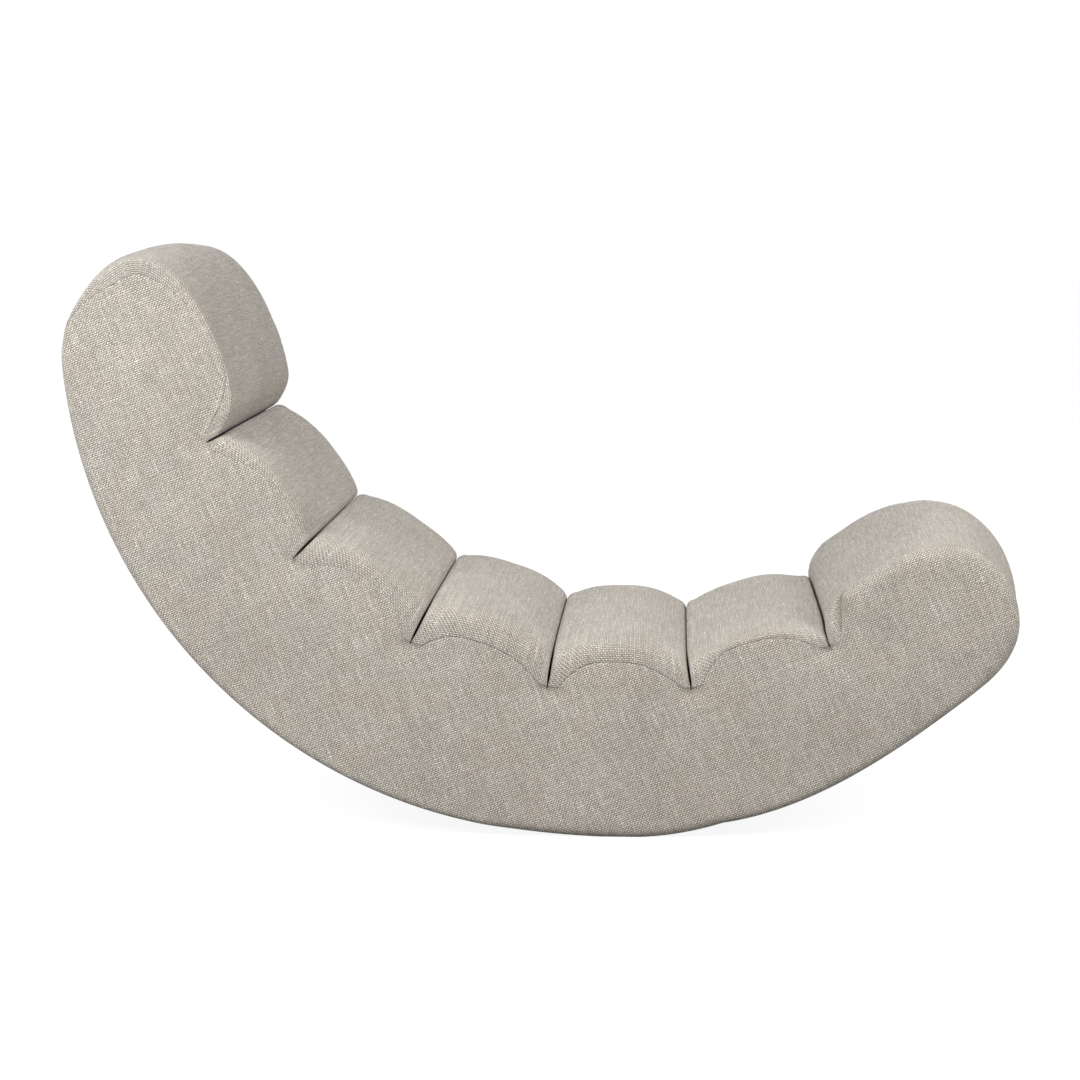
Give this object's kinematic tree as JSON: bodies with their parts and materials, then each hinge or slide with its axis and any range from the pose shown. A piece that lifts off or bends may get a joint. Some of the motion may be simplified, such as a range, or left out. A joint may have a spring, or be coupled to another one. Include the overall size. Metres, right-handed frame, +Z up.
{
  "type": "rocking lounge chair",
  "caption": "Low curved rocking lounger, fully upholstered in woven linen, with padded rolls across the seat, raised head and foot rolls and a rounded rocker sole.",
  "frame": {"origin": "middle of the bounding box at floor level", "axes": "+X from the head to the foot, +Y to the left of someone lying in it, +Z up"},
  "size_m": [1.4718, 0.66, 0.8981],
  "materials": {
    "oatmeal_linen": "coarse plain weave, matte",
    "foam": "open-cell upholstery foam",
    "plywood": "raw plywood",
    "pine": "raw sawn pine",
    "webbing": "woven elastic strap",
    "dark_steel": "dark paint",
    "zinc_plate": "zinc plated"
  },
  "bodies": {
    "root": {"back_base_rail": "pine", "back_board": "plywood", "back_cover": "oatmeal_linen", "back_pad": "foam", "counterweight_bar": "dark_steel", "foot_board": "pine", "foot_core": "foam", "foot_roll_cover": "oatmeal_linen", "front_base_rail": "pine", "front_board": "plywood", "front_cover": "oatmeal_linen", "front_pad": "foam", "head_board": "pine", "head_core": "foam", "head_roll_cover": "oatmeal_linen", "lower_back_rail": "pine", "pull_strip_1": "oatmeal_linen", "pull_strip_2": "oatmeal_linen", "pull_strip_3": "oatmeal_linen", "pull_strip_4": "oatmeal_linen", "pull_strip_5": "oatmeal_linen", "pull_strip_6": "oatmeal_linen", "roll_2_core": "foam", "roll_2_cover": "oatmeal_linen", "roll_3_core": "foam", "roll_3_cover": "oatmeal_linen", "roll_4_core": "foam", "roll_4_cover": "oatmeal_linen", "roll_5_core": "foam", "roll_5_cover": "oatmeal_linen", "roll_6_core": "foam", "roll_6_cover": "oatmeal_linen", "side_frame_left": "plywood", "side_frame_right": "plywood", "side_pad_left": "foam", "side_pad_right": "foam", "side_panel_left": "oatmeal_linen", "side_panel_right": "oatmeal_linen", "slit_rail_1": "pine", "slit_rail_2": "pine", "slit_rail_3": "pine", "slit_rail_4": "pine", "slit_rail_5": "pine", "slit_rail_6": "pine", "sole_board": "plywood", "sole_cover": "oatmeal_linen", "sole_pad": "foam", "webbing_1": "webbing", "webbing_2": "webbing", "webbing_3": "webbing", "webbing_4": "webbing", "webbing_5": "webbing", "webbing_6": "webbing", "webbing_7": "webbing", "weight_bolt_left_1": "zinc_plate", "weight_bolt_left_2": "zinc_plate", "weight_bolt_right_1": "zinc_plate", "weight_bolt_right_2": "zinc_plate"}
  },
  "joints": []
}
